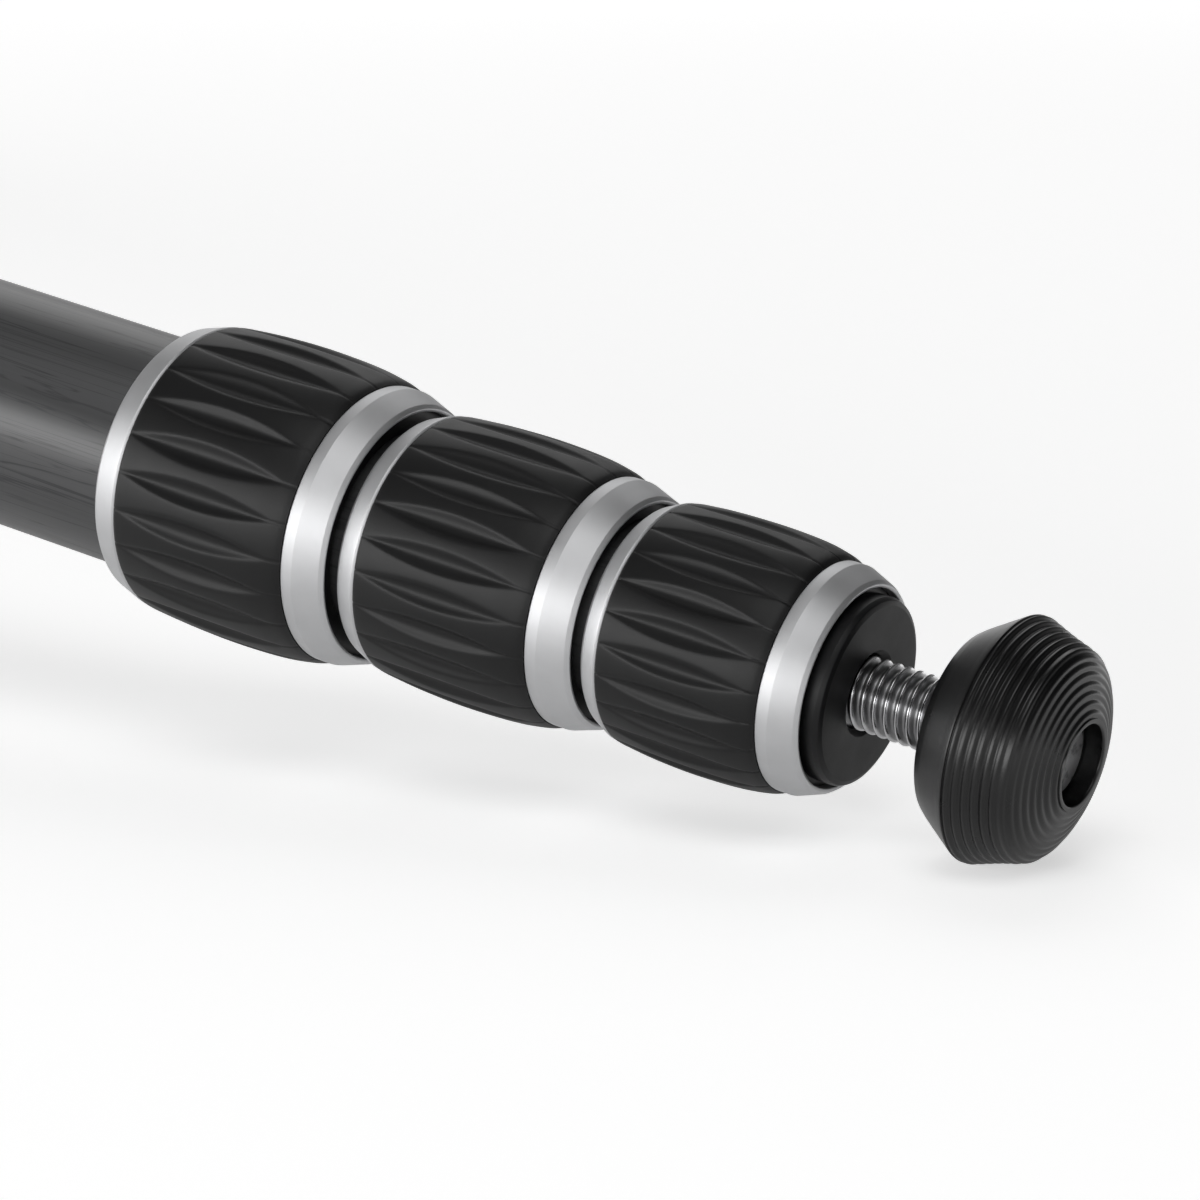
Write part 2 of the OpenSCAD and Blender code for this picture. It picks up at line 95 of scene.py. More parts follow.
# How far in front of the widest ring its shift has run out
FOOT_SHIFT_RUN = 9 * MM
# Wide enough to tell the hole's rim from the face round it
FOOT_RIM = 0.9 * MM
# Lengths along the outline, from the parting line
PARTING_HALF = 0.1 * MM
RIDGE_START = 0.3 * MM
RIDGE_SHARPNESS = 0.8
# Changes of the ridges' height: (where one starts and ends, as shares of their run, and what it adds)
FOOT_WEAR = ((0.35, 0.5, -0.6), (0.6, 0.8, 0.15))

# Nodes made again with rounded edges: (node, ending of the piece's name, slot, radius)
APEX_COPIES = (
    ("pivot_bolts", "turned", "polished_steel", 0.35 * MM),
    ("bubble_level", "vial", "level_vial", 0.5 * MM),
)
# The same with the body after the ending
COLUMN_COPIES = (
    ("column_grip", "fluted", "column_lock", "grip_rubber", 0.35 * MM),
    ("head_plate", "turned", "column", "anodised_aluminium", 0.3 * MM),
    ("plate_pad", "moulded", "column", "grip_rubber", 0.25 * MM),
    ("plate_screws", "turned", "column", "polished_steel", 0.15 * MM),
)
CAD_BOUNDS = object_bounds()
JOINTS = {joint["name"]: joint for joint in frame["joints"]}
APEX_FRAME = Matrix.Identity(4)


def leg_frame(leg):
    """The leg's own frame: z runs from the pivot to the foot, y along the pivot bolt, x down."""
    pivot = Vector(JOINTS[f"leg_{leg}_spread"]["pos_m"])
    along = Vector(JOINTS[f"leg_{leg}_section_2_slide"]["axis"]).normalized()
    across = -Vector(JOINTS[f"leg_{leg}_spread"]["axis"]).normalized()
    down = across.cross(along)
    placed = Matrix((down, across, along)).transposed().to_4x4()
    placed.translation = pivot
    return placed


def turned_outlines(node, place):
    """The outlines of a turned node, as lists of (radius, station) corners about the z axis of place."""
    mesh = frame["nodes"][node].data
    back = place.inverted()
    corners = []
    corner_of = []
    for vertex in mesh.vertices:
        point = back @ vertex.co
        at = (math.hypot(point.x, point.y), point.z)
        near = [i for i, (r, z) in enumerate(corners) if abs(r - at[0]) < SAME and abs(z - at[1]) < SAME]
        if not near:
            near = [len(corners)]
            corners.append(at)
        corner_of.append(near[0])
    links = {i: set() for i in range(len(corners))}
    for edge in mesh.edges:
        a, b = (corner_of[v] for v in edge.vertices)
        if a != b:
            links[a].add(b)
            links[b].add(a)
    outlines = []
    left = set(links)
    while left:
        ends = [i for i in left if len(links[i]) == 1]
        here = min(ends or left, key=lambda i: corners[i][1])
        walk = []
        while here is not None:
            walk.append(here)
            left.discard(here)
            here = next((i for i in sorted(links[here]) if i in left), None)
        outline = [corners[i] for i in walk]
        if ends:
            outline = [(0.0, outline[0][1]), *outline, (0.0, outline[-1][1])]
        outlines.append(outline)
    return sorted(outlines, key=lambda line: -max(r for r, _ in line))


# Shapes

def rounded(corners, radius, steps, closed):
    """The outline with each corner turned into an arc of about the radius given."""
    flattest, sharpest, longest = math.radians(176), math.radians(4), 0.45
    out = []
    count = len(corners)
    for i, corner in enumerate(corners):
        if not closed and i in (0, count - 1):
            out.append(corner)
            continue
        here = Vector(corner)
        before = Vector(corners[i - 1]) - here
        after = Vector(corners[(i + 1) % count]) - here
        angle = before.angle(after)
        if not sharpest < angle < flattest:
            out.append(corner)
            continue
        reach = min(radius / math.tan(angle / 2), longest * before.length, longest * after.length)
        start = here + before.normalized() * reach
        end = here + after.normalized() * reach
        for step in range(steps + 1):
            t = step / steps
            bend = start.lerp(here, t).lerp(here.lerp(end, t), t)
            out.append((bend.x, bend.y))
    return out


def new_piece(name, mesh, place, body, slot_name, replaced=(), looks=()):
    """Links a mesh as a piece, placed and on its body, with the looks named or else the slot's own look."""
    piece = bpy.data.objects.new(name, mesh)
    bpy.context.scene.collection.objects.link(piece)
    piece.matrix_world = place
    for look in looks or (slot_name,):
        piece.data.materials.append(finish(look))
    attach(piece, body)
    if replaced:
        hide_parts(*replaced)
    return piece


def shade(mesh, limit_deg=35):
    """Smooth shading, kept sharp at edges steeper than the limit."""
    mesh.shade_smooth()
    mesh.set_sharp_from_angle(angle=math.radians(limit_deg))


def turned_mesh(name, outlines, segments, closed=True):
    """Solids of revolution about z, one for each outline of (radius, station) corners."""
    bm = bmesh.new()
    for outline in outlines:
        rings = []
        for radius, z in outline:
            if radius < ON_AXIS:
                rings.append([bm.verts.new((0, 0, z))])
                continue
            turns = [math.tau * s / segments for s in range(segments)]
            ring = [(radius * math.cos(turn), radius * math.sin(turn), z) for turn in turns]
            rings.append([bm.verts.new(point) for point in ring])
        pairs = list(zip(rings, rings[1:]))
        if closed and len(rings[0]) > 1:
            pairs.append((rings[-1], rings[0]))
        for low, high in pairs:
            for s in range(segments):
                after = (s + 1) % segments
                around = ((low, s), (low, after), (high, after), (high, s))
                face = list(dict.fromkeys(ring[i % len(ring)] for ring, i in around))
                if len(face) > 2:
                    bm.faces.new(face)
    bmesh.ops.recalc_face_normals(bm, faces=bm.faces)
    mesh = bpy.data.meshes.new(name)
    bm.to_mesh(mesh)
    bm.free()
    shade(mesh)
    return mesh


def turned_piece(name, node, place, body, slot_name, shapes):
    """A turned node made again with rounded edges and a fine curve."""
    fine = []
    for outline in turned_outlines(node, place):
        closed = all(radius > ON_AXIS for radius, _ in outline)
        fine.append(rounded(outline, shapes.edge_round, shapes.edge_steps, closed))
    mesh = turned_mesh(name, fine, shapes.segments)
    return new_piece(name, mesh, place, body, slot_name, [node])


def smooth_step(low, high, value):
    """0 below low, 1 above high and a smooth run between."""
    t = min(1.0, max(0.0, (value - low) / (high - low)))
    return t * t * (3 - 2 * t)


def along_line(points, t):
    """Height at t of a smooth curve through (t, height) points."""
    for (t0, h0), (t1, h1) in zip(points, points[1:]):
        if t <= t1:
            i = points.index((t0, h0))
            before = points[max(i - 1, 0)]
            after = points[min(i + 2, len(points) - 1)]
            slope0 = (h1 - before[1]) / max(t1 - before[0], 1e-9)
            slope1 = (after[1] - h0) / max(after[0] - t0, 1e-9)
            span = t1 - t0
            u = (t - t0) / span
            return (
                (2 * u ** 3 - 3 * u ** 2 + 1) * h0 + (u ** 3 - 2 * u ** 2 + u) * span * slope0
                + (3 * u ** 2 - 2 * u ** 3) * h1 + (u ** 3 - u ** 2) * span * slope1
            )
    return points[-1][1]


def grip_mesh(name, seats, phase, shapes):
    """The rubber grip: a crowned sleeve with lens-shaped flutes, rounded down to the front ring."""
    rear, front, core, shoulder, ring, crown = seats
    length = front - rear
    steps_round = shapes.flute_count * shapes.flute_steps
    steps_along = shapes.grip_rows
    flute_half = length * shapes.flute_span / 2
    flute_mid = length * shapes.flute_middle
    pitch = math.tau / shapes.flute_count
    depth = shapes.flute_depth * crown / shapes.crown_ref
    # Rows lie closer together near both ends
    crowding = 0.03
    # The outline without its flutes, as (share of the length, radius)
    outline = [
        (0.0, shoulder - 0.1 * MM),
        (0.012, shoulder + 0.12 * MM),
        (0.10, shoulder + (crown - shoulder) * 0.45),
        (0.25, crown - 0.17 * MM),
        (0.46, crown),
        (0.66, crown - 0.12 * MM),
        (0.82, crown - 0.42 * MM),
        (0.925, crown - (crown - ring) * 0.52),
        (0.972, ring + 0.48 * MM),
        (1.0, ring + 0.12 * MM),
    ]
    points = []
    for i in range(steps_along + 1):
        t = i / steps_along
        t -= crowding * math.sin(math.tau * t)
        x = t * length
        base = along_line(outline, t)
        reach = max(1e-3, 1 - ((x - flute_mid) / flute_half) ** 2)
        for j in range(steps_round):
            angle = math.tau * j / steps_round
            off = ((angle / pitch + 0.5) % 1 - 0.5) / (shapes.flute_fill / 2)
            cut = depth * (reach - off * off / reach)
            cut = 0.5 * (cut + math.hypot(cut, shapes.flute_soften))
            turn = angle + phase
            radius = base - cut
            points.append((radius * math.cos(turn), radius * math.sin(turn), rear + x))
    for z in (front, rear):
        for j in range(steps_round):
            turn = math.tau * j / steps_round + phase
            points.append((core * math.cos(turn), core * math.sin(turn), z))
    rows = steps_along + 3
    faces = [
        (i * steps_round + j, i * steps_round + (j + 1) % steps_round,
         (i + 1) % rows * steps_round + (j + 1) % steps_round, (i + 1) % rows * steps_round + j)
        for i in range(rows) for j in range(steps_round)
    ]
    mesh = bpy.data.meshes.new(name)
    mesh.from_pydata(points, [], faces)
    shade(mesh, 50)
    return mesh


def grip_seats(leg, lock, place):
    """Where a grip sits on its lock: (rear, front, core, shoulder, ring, crown), and its seal's points."""
    nut = turned_outlines(f"leg_{leg}_nut_{lock}", place)[0]
    back = place.inverted()
    cloud = [back @ v.co for v in frame["nodes"][f"leg_{leg}_grip_{lock}"].data.vertices]
    cloud = [(math.hypot(p.x, p.y), p.z) for p in cloud]
    past_front = 0.05 * MM
    crown = max(r for r, _ in cloud)
    rear = min(z for _, z in cloud)
    core = min(r for r, z in cloud if abs(z - rear) < ON_LEVEL)
    shoulder = max(r for r, z in nut if z < rear)
    front = max(z for r, z in cloud if r > core - ON_LEVEL / 2)
    ring = max(r for r, z in nut if z > front - past_front)
    seal = sorted((r, z) for r, z in cloud if z > front + past_front)
    return (rear, front, core, shoulder, ring, crown), seal


def thread_mesh(name, outline, shapes, chamfers, plain):
    """A threaded rod with narrow crests and wide roots, which fade out over plain pitches at its high end.

    The chamfers are those of its low and its high end. Its flat ends take the second material.
    """
    # Across one pitch: (share of the pitch, share of the depth)
    shape = [(0.0, 0.0), (0.05, 0.02), (0.11, 0.16), (0.24, 0.62), (0.32, 0.86), (0.41, 0.98), (0.50, 1.0),
             (0.59, 0.98), (0.68, 0.86), (0.76, 0.62), (0.89, 0.16), (0.95, 0.02)]
    weld = 0.002 * MM
    flat_normal, flat_share = 0.95, 0.9
    radius = max(r for r, _ in outline)
    start, end = min(z for _, z in outline), max(z for _, z in outline)
    pitch, depth, segments = shapes.thread_pitch, shapes.thread_depth, shapes.segments // 2
    turns = int((end - start) / pitch) + 3
    bm = bmesh.new()
    rows = []
    for turn in range(-1, turns):
        for offset, drop in shape:
            row = []
            for s in range(segments + 1):
                share = s / segments
                z = start + pitch * (turn + share + offset)
                held = min(max(z, start), end)
                r = radius - depth * drop * smooth_step(0, pitch * plain, end - held)
                r = min(r, radius - chamfers[0] + (held - start), radius - chamfers[1] + (end - held))
                angle = math.tau * share
                row.append(bm.verts.new((r * math.cos(angle), r * math.sin(angle), held)))
            rows.append(row)
    for a, b in zip(rows, rows[1:]):
        for s in range(segments):
            bm.faces.new((a[s], a[s + 1], b[s + 1], b[s]))
    bmesh.ops.remove_doubles(bm, verts=bm.verts, dist=weld)
    bmesh.ops.dissolve_degenerate(bm, edges=bm.edges, dist=weld)
    open_edges = [e for e in bm.edges if e.is_boundary]
    bmesh.ops.holes_fill(bm, edges=open_edges, sides=0)
    bmesh.ops.recalc_face_normals(bm, faces=bm.faces)
    for face in bm.faces:
        inside = face.calc_center_median().xy.length < flat_share * radius
        face.material_index = int(abs(face.normal.z) > flat_normal and inside)
    mesh = bpy.data.meshes.new(name)
    bm.to_mesh(mesh)
    bm.free()
    shade(mesh, 50)
    return mesh


def softened_copy(name, node, body, slot_name, width):
    """A cast or milled node made again with its edges rounded."""
    weld, flat_deg, edge_deg = 0.004 * MM, 0.6, 32
    bm = bmesh.new()
    bm.from_mesh(frame["nodes"][node].data)
    bmesh.ops.remove_doubles(bm, verts=bm.verts, dist=weld)
    bmesh.ops.dissolve_limit(bm, angle_limit=math.radians(flat_deg), verts=bm.verts, edges=bm.edges)
    mesh = bpy.data.meshes.new(name)
    bm.to_mesh(mesh)
    bm.free()
    piece = new_piece(name, mesh, APEX_FRAME, body, slot_name, [node])
    bevel = piece.modifiers.new("Rounded edges", "BEVEL")
    bevel.width = width
    bevel.segments = 3
    bevel.limit_method = "ANGLE"
    bevel.angle_limit = math.radians(edge_deg)
    bevel.use_clamp_overlap = True
    bevel.miter_outer = "MITER_ARC"
    shade(mesh, edge_deg)


# Finishes

def add_node(tree, kind, inputs=None, **settings):
    """A new node with its settings, and its inputs as values or as the sockets that feed them."""
    made = tree.nodes.new(kind)
    for key, value in settings.items():
        setattr(made, key, value)
    for socket, value in (inputs or {}).items():
        if isinstance(value, bpy.types.NodeSocket):
            tree.links.new(value, made.inputs[socket])
        else:
            made.inputs[socket].default_value = value
    return made


def combined(tree, operation, a, b):
    """Two factors joined by the math operation named."""
    return add_node(tree, "ShaderNodeMath", {0: a, 1: b}, operation=operation).outputs["Value"]


def measured(tree, operation, a, b=(0, 0, 0)):
    """A number taken from one or two vectors, such as a length or a distance."""
    return add_node(tree, "ShaderNodeVectorMath", {0: a, 1: b}, operation=operation).outputs["Value"]


class Shader:
    """A material in the making: its nodes, and links between them by socket name."""

    def __init__(self, name, **sockets):
        self.material = bpy.data.materials.new(name)
        self.material.use_nodes = True
        self.tree = self.material.node_tree
        self.surface = self.tree.nodes["Principled BSDF"]
        for socket, value in sockets.items():
            self.surface.inputs[socket.replace("_", " ")].default_value = value

    def node(self, kind, inputs=None, **settings):
        return add_node(self.tree, kind, inputs, **settings)

    def link(self, output, socket):
        self.tree.links.new(output, self.surface.inputs[socket])

    def place(self, scale=(1, 1, 1)):
        """Object coordinates, scaled."""
        inputs = {"Vector": self.node("ShaderNodeTexCoord").outputs["Object"], "Scale": scale}
        return self.node("ShaderNodeMapping", inputs).outputs["Vector"]

    def from_axis(self, middle=(0, 0, 0)):
        """Distance from the upright line through the middle."""
        place = self.node("ShaderNodeTexCoord").outputs["Object"]
        for operation, other in (("SUBTRACT", middle), ("MULTIPLY", (1, 1, 0))):
            made = self.node("ShaderNodeVectorMath", {0: place, 1: other}, operation=operation)
            place = made.outputs["Vector"]
        return measured(self.tree, "LENGTH", place)

    def noise(self, vector, scale, detail=2.0, roughness=0.5, distortion=0.0):
        inputs = {"Vector": vector, "Scale": scale, "Detail": detail, "Roughness": roughness}
        inputs["Distortion"] = distortion
        return self.node("ShaderNodeTexNoise", inputs).outputs["Fac"]

    def ramp(self, factor, *stops):
        """A ramp through (position, colour or grey level) stops."""
        made = self.node("ShaderNodeValToRGB", {"Fac": factor})
        elements = made.color_ramp.elements
        elements.remove(elements[1])
        elements[0].position = stops[0][0]
        for position, _ in stops[1:]:
            elements.new(position)
        for element, (_, colour) in zip(elements, stops):
            element.color = colour if hasattr(colour, "__len__") else (colour, colour, colour, 1)
        return made.outputs["Color"]

    def mix(self, factor, a, b):
        colour_a, colour_b, colour_out = 6, 7, 2
        inputs = {"Factor": factor, colour_a: a, colour_b: b}
        return self.node("ShaderNodeMix", inputs, data_type="RGBA").outputs[colour_out]

    def shades(self, factor, colour, low, high):
        """The colour, from its low gain to its high gain."""
        return self.mix(factor, colour4(colour, low), colour4(colour, high))

    def spread(self, factor, low, high):
        """A factor from 0 to 1 brought to run from low to high."""
        inputs = {"Value": factor, "To Min": low, "To Max": high}
        return self.node("ShaderNodeMapRange", inputs).outputs["Result"]

    def bump(self, height, strength, distance, after=None):
        inputs = {"Height": height, "Strength": strength, "Distance": distance}
        if after is not None:
            inputs["Normal"] = after
        return self.node("ShaderNodeBump", inputs).outputs["Normal"]


def colour4(colour, gain=1.0):
    """A property's colour as a socket takes it, lightened or darkened by a gain."""
    return tuple(min(1.0, c * gain) for c in colour[:3]) + (1.0,)


def carbon_finish(looks):
    """Satin carbon tube: faint fibre, slow bands and long dark grain lines along the tube."""
    s = Shader("carbon_tube_finish", Metallic=0.0, IOR=1.5, Coat_Roughness=0.26)
    slow = s.noise(s.place((1, 1, 0.035)), 150, 3, 0.55, 0.35)
    grain = s.noise(s.place((1, 1, 0.022)), 210, 4, 0.6, 0.8)
    fibre = s.noise(s.place((1, 1, 0.012)), 2400, 2, 0.5)
    lines = s.ramp(grain, (0.40, 1.0), (0.41, 0.35), (0.42, 1.0), (0.485, 0.97), (0.502, 0.0), (0.512, 0.9),
                   (0.60, 1.0), (0.608, 0.3), (0.616, 1.0))
    base = s.shades(s.ramp(slow, (0.32, 0.0), (0.68, 1.0)), looks.carbon, 0.78, 1.2)
    base = s.mix(s.spread(fibre, 0.0, 0.3), base, colour4(looks.carbon, 0.55))
    base = s.mix(lines, colour4(looks.carbon_streak), base)
    s.link(base, "Base Color")
    s.link(s.spread(lines, 0.32, 0.5), "Specular IOR Level")
    s.link(s.spread(lines, 0.16, 0.4), "Coat Weight")
    s.link(s.spread(slow, 0.30, 0.42), "Roughness")
    s.link(s.bump(fibre, 0.10, 0.05 * MM), "Normal")
    return s.material


def anodised_finish(looks):
    """Blasted and anodised aluminium: even fine grain, faint clouds and turning marks."""
    s = Shader("anodised_aluminium_finish", Metallic=1.0)
    clouds = s.noise(s.place(), 260, 3, 0.55)
    grain = s.noise(s.place(), 5200, 2, 0.6)
    turning = s.noise(s.place((0.001, 0.001, 1)), 5200, 2, 0.5)
    s.link(s.shades(clouds, looks.aluminium, 0.93, 1.07), "Base Color")
    s.link(s.spread(clouds, 0.48, 0.58), "Roughness")
    s.link(s.bump(turning, 0.05, 0.02 * MM, s.bump(grain, 0.22, 0.02 * MM)), "Normal")
    return s.material


def grip_rubber_finish(looks):
    """Moulded soft rubber: fine grain, slow shine changes and a little dust."""
    s = Shader("grip_rubber_finish", Metallic=0.0, IOR=1.5, Specular_IOR_Level=0.34)
    grain = s.noise(s.place(), 3600, 3, 0.6)
    clouds = s.noise(s.place(), 170, 4, 0.6)
    dust = s.ramp(s.noise(s.place(), 2600, 1, 0.5), (0.74, 0.0), (0.80, 1.0))
    base = s.shades(clouds, looks.grip_rubber, 0.8, 1.25)
    s.link(s.mix(s.spread(dust, 0.0, 0.35), base, colour4(looks.grip_rubber, 4.0)), "Base Color")
    s.link(s.spread(clouds, 0.40, 0.50), "Roughness")
    s.link(s.bump(grain, 0.15, 0.03 * MM), "Normal")
    return s.material


def foot_rubber_finish(looks):
    """Hard moulded rubber: a soft shine, small pits and pale wear specks."""
    s = Shader("foot_rubber_finish", Metallic=0.0, IOR=1.5, Specular_IOR_Level=0.5)
    grain = s.noise(s.place(), 2400, 4, 0.65)
    clouds = s.noise(s.place(), 230, 4, 0.6)
    specks = s.ramp(s.noise(s.place((1, 1, 0.6)), 1700, 2, 0.6), (0.68, 0.0), (0.76, 1.0))
    base = s.shades(clouds, looks.foot_rubber, 0.75, 1.3)
    s.link(s.mix(s.spread(specks, 0.0, 0.4), base, colour4(looks.foot_rubber, 5.0)), "Base Color")
    s.link(s.spread(clouds, 0.23, 0.36), "Roughness")
    s.link(s.bump(grain, 0.25, 0.04 * MM), "Normal")
    return s.material


def black_anodised_finish(looks):
    """Matt black anodised metal with a fine grain."""
    s = Shader("black_anodised_finish", Metallic=0.0, IOR=1.5, Specular_IOR_Level=0.28)
    grain = s.noise(s.place(), 4200, 3, 0.6)
    clouds = s.noise(s.place(), 300, 3, 0.6)
    s.link(s.shades(clouds, looks.black_metal, 0.8, 1.3), "Base Color")
    s.link(s.spread(clouds, 0.36, 0.5), "Roughness")
    s.link(s.bump(grain, 0.2, 0.03 * MM), "Normal")
    return s.material


def cast_finish(looks):
    """Die-cast metal under a grained dark coat."""
    s = Shader("cast_metal_finish", Metallic=0.35, IOR=1.5)
    pebble = s.noise(s.place(), 1500, 3, 0.55)
    clouds = s.noise(s.place(), 90, 3, 0.6)
    s.link(s.shades(clouds, looks.cast_metal, 0.85, 1.2), "Base Color")
    s.link(s.spread(pebble, 0.36, 0.52), "Roughness")
    s.link(s.bump(pebble, 0.3, 0.06 * MM), "Normal")
    return s.material


def black_plastic_finish(looks):
    """Moulded black plastic of the collets and seals."""
    s = Shader("black_plastic_finish", Metallic=0.0, IOR=1.46)
    grain = s.noise(s.place(), 1800, 2, 0.6)
    s.link(s.shades(grain, looks.black_metal, 0.8, 1.2), "Base Color")
    s.link(s.spread(grain, 0.38, 0.5), "Roughness")
    s.link(s.bump(grain, 0.1, 0.03 * MM), "Normal")
    return s.material


def steel_finish(looks):
    """Bright rolled steel with faint drawing marks."""
    s = Shader("polished_steel_finish", Metallic=1.0)
    marks = s.noise(s.place((1, 1, 0.2)), 900, 3, 0.6)
    s.link(s.shades(marks, looks.steel, 0.8, 1.12), "Base Color")
    s.link(s.spread(marks, 0.10, 0.26), "Roughness")
    s.link(s.bump(marks, 0.06, 0.03 * MM), "Normal")
    return s.material


def thread_finish(looks):
    """Rolled steel thread: bright crests and dull roots, with painted shade darkening the roots."""
    s = Shader("thread_finish", Metallic=1.0)
    marks = s.noise(s.place((1, 1, 0.2)), 900, 3, 0.6)
    dull_radius, bright_radius = 3.95 * MM, 4.7 * MM
    inputs = {"Value": s.from_axis(), "From Min": dull_radius, "From Max": bright_radius}
    crest = s.node("ShaderNodeMapRange", inputs).outputs["Result"]
    # Painted shade in the thread's roots: from the axis out to the crests the steel's colour goes from a small
    # share of it to all of it, and the same share makes the roots rougher
    ridge_wear_and_painted_root_shade = s.ramp(crest, (0.0, 0.3), (0.5, 0.42), (0.85, 1.0))
    base = s.shades(marks, looks.steel, 0.8, 1.12)
    s.link(s.mix(ridge_wear_and_painted_root_shade, colour4(looks.steel, 0.12), base), "Base Color")
    root_roughness, crest_roughness = (0.42, 0.42, 0.42, 1), (0.16, 0.16, 0.16, 1)
    s.link(s.mix(ridge_wear_and_painted_root_shade, root_roughness, crest_roughness), "Roughness")
    s.link(s.bump(marks, 0.06, 0.03 * MM), "Normal")
    return s.material


def sawn_end_finish(looks):
    """Dull, stained end of a cut steel rod."""
    s = Shader("sawn_end_finish", Metallic=0.7, IOR=1.5)
    stains = s.noise(s.place(), 520, 4, 0.65)
    spots = s.ramp(s.noise(s.place(), 900, 3, 0.6), (0.36, 0.35), (0.44, 1.0))
    base = s.shades(stains, looks.steel, 0.4, 1.0)
    s.link(s.mix(spots, colour4(looks.steel, 0.16), base), "Base Color")
    s.link(s.spread(stains, 0.38, 0.6), "Roughness")
    s.link(s.bump(stains, 0.4, 0.12 * MM), "Normal")
    return s.material


def level_finish(looks):
    """Tinted vial of the spirit level, with its bubble and ring."""
    s = Shader("level_vial_finish", IOR=1.49, Roughness=0.06, Coat_Weight=0.6)
    low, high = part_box("bubble_level")
    vial_radius = 6.4 * MM
    share = combined(s.tree, "DIVIDE", s.from_axis((low + high) / 2), vial_radius)
    bubble, liquid, deep = colour4(looks.level, 1.9), colour4(looks.level), colour4(looks.level, 0.8)
    ring, rim = (0.01, 0.01, 0.01, 1), (0.02, 0.02, 0.02, 1)
    shown = s.ramp(share, (0.0, bubble), (0.30, bubble), (0.33, deep), (0.48, liquid), (0.50, ring),
                   (0.55, ring), (0.57, liquid), (0.93, deep), (0.96, rim))
    s.link(shown, "Base Color")
    return s.material


# Settings that a user would change

def count_property(name, description, default, **limits):
    return bpy.props.IntProperty(name=name, description=description, default=default, **limits)


def number_property(name, description, default, **limits):
    return bpy.props.FloatProperty(name=name, description=description, default=default, **limits)


def length_property(name, description, default):
    return number_property(name, description, default, unit="LENGTH")


def turn_property(lock, default):
    return number_property(f"Lock {lock} turn", f"Turn of lock {lock}'s flutes, in degrees", default)


def colour_property(name, description, default):
    return bpy.props.FloatVectorProperty(
        name=name, description=description, subtype="COLOR", size=3, min=0, max=1, default=default)


class TripodShapes(bpy.types.PropertyGroup):
    """Sizes of the fine shapes."""

    segments: count_property("Segments", "Steps round a turned piece", 192, min=48)
    edge_round: length_property("Edge rounding", "Radius on the edges of turned pieces", 0.22 * MM)
    edge_steps: count_property("Edge steps", "Steps in a rounded edge", 3, min=1)
    flute_count: count_property("Flutes", "Flutes round a grip", 24, min=8)
    flute_steps: count_property("Flute steps", "Mesh steps across one flute's pitch", 22)
    grip_rows: count_property("Grip rows", "Mesh steps along a grip", 84)
    flute_depth: length_property("Flute depth", "Depth of a flute at its middle", 0.85 * MM)
    flute_fill: number_property("Flute width", "Share of the pitch that it fills", 0.62, min=0.3, max=0.98)
    flute_span: number_property("Flute length", "Share of the grip that it runs", 0.9, min=0.3, max=0.98)
    flute_middle: number_property("Flute middle", "Place of a flute's middle along the grip", 0.475)
    flute_soften: length_property("Flute edge", "Softness of a flute's edges", 0.2 * MM)
    crown_ref: length_property("Reference crown", "Grip radius at which a flute is fully deep", 20.5 * MM)
    phase_1: turn_property(1, 5.7)
    phase_2: turn_property(2, 0.2)
    phase_3: turn_property(3, 12.3)
    seal_round: length_property("Seal rounding", "Radius on the dust seals", 0.3 * MM)
    thread_pitch: length_property("Thread pitch", "Pitch of the 3/8 inch stud threads", 25.4 / 16 * MM)
    thread_depth: length_property("Thread depth", "Depth of the stud threads", 0.92 * MM)
    foot_ridges: count_property("Foot ridges", "Ridges round a foot's front", 14)
    ridge_height: length_property("Ridge height", "Height of a foot's ridges", 0.32 * MM)
    foot_shift: length_property("Foot's parting", "From the CAD's widest ring to the parting line", 0.7 * MM)
    parting_depth: length_property("Parting depth", "Depth of a foot's parting line", 0.16 * MM)
    cast_round: length_property("Cast rounding", "Radius on the edges of castings", 0.9 * MM)
    tab_round: length_property("Tab rounding", "Radius on the edges of angle tabs", 0.3 * MM)


class TripodFinishes(bpy.types.PropertyGroup):
    """Base colours of the finishes."""

    carbon: colour_property("Carbon", "Leg and column tubes", (0.055, 0.0555, 0.057))
    carbon_streak: colour_property("Carbon grain", "Dark grain lines on the tubes", (0.034, 0.034, 0.036))
    aluminium: colour_property("Aluminium", "Anodised rings and plate", (0.61, 0.613, 0.622))
    grip_rubber: colour_property("Grip rubber", "Lock grips", (0.0035, 0.0035, 0.0037))
    foot_rubber: colour_property("Foot rubber", "Feet", (0.003, 0.003, 0.0032))
    black_metal: colour_property("Black metal", "End plugs, tabs and caps", (0.0045, 0.0045, 0.005))
    cast_metal: colour_property("Cast metal", "Apex and knuckles", (0.045, 0.047, 0.05))
    steel: colour_property("Steel", "Studs, bolts and the eye", (0.62, 0.62, 0.63))
    level: colour_property("Level", "Spirit level's liquid", (0.36, 0.60, 0.08))


